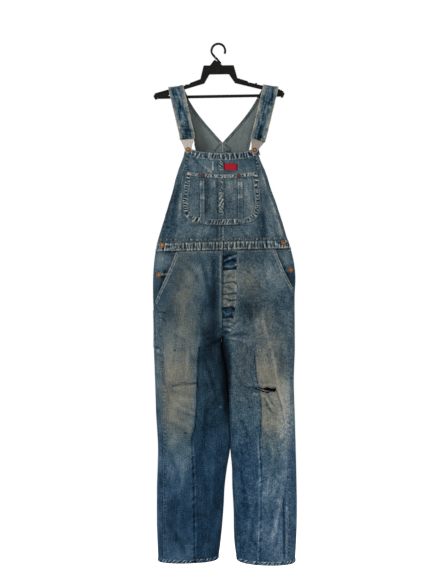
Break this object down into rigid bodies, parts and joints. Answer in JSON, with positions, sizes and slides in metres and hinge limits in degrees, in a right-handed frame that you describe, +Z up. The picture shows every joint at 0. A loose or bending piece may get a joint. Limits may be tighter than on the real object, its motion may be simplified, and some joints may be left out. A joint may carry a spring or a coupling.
{
  "type": "bib overalls on a clothes hanger",
  "caption": "Worn denim bib overalls with straps over a moulded clothes hanger, hanging flat with open legs, neck and armholes.",
  "frame": {"origin": "underside of the hook's crown, where a rail carries the hanger", "axes": "+X to the wearer's left, +Y to the back of the garment, +Z up"},
  "size_m": [0.4689, 0.1169, 1.7021],
  "materials": {
    "denim": "washed indigo twill, faded and stained at the thighs",
    "label_cloth": "plain red woven patch, bare",
    "button_metal": "worn coppery brass",
    "buckle_metal": "pale satin metal",
    "hanger_plastic": "black moulded plastic"
  },
  "bodies": {
    "root": {"hanger_hook": "hanger_plastic", "hanger_body": "hanger_plastic", "hanger_bar": "hanger_plastic", "strap_right": "denim", "strap_left": "denim", "buckle_right": "buckle_metal", "buckle_left": "buckle_metal", "bib_button_right": "button_metal", "bib_button_left": "button_metal", "bib_right": "denim", "bib_left": "denim", "bib_pocket": "denim", "pocket_divider_right": "denim", "pocket_divider_left": "denim", "pocket_rivet_right": "button_metal", "pocket_rivet_left": "button_metal", "label": "label_cloth", "back_right": "denim", "back_left": "denim", "waistband_front": "denim", "waist_button_right": "button_metal", "waist_button_left": "button_metal", "hip_right": "denim", "hip_left": "denim", "hip_button_right": "button_metal", "hip_button_left": "button_metal", "fly": "denim", "tool_pocket_edge": "denim", "front_leg_right": "denim", "front_leg_left": "denim", "back_leg_right": "denim", "back_leg_left": "denim"}
  },
  "joints": []
}
